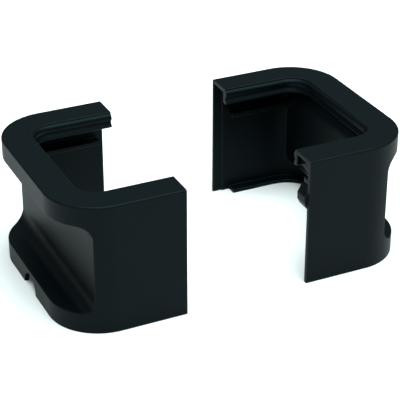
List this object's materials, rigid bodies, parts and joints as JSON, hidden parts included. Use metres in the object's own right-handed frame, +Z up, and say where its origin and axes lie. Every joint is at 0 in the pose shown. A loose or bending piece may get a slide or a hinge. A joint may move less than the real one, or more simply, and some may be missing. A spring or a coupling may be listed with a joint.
{
  "type": "split clip-on post collar",
  "caption": "Two black moulded half shells that close round a rectangular post, with a lipped opening, a grip channel and an arch outlet.",
  "frame": {"origin": "centre of the base, midway between the two halves as they stand apart, on the plane they rest on", "axes": "+X from the left half to the right half, along the arms; +Y from the near arms to the far arms; +Z up"},
  "size_m": [0.1724, 0.1, 0.0625],
  "materials": {
    "black_moulding": "near-black, satin, fine moulded grain"
  },
  "bodies": {
    "left_half": {"left_half_shell": "black_moulding"},
    "right_half": {"right_half_shell": "black_moulding"}
  },
  "joints": [
    {"name": "close_halves", "type": "slide", "parent": "left_half", "child": "right_half", "axis": [-1, 0, 0], "range_m": [0, 0.0597]}
  ]
}
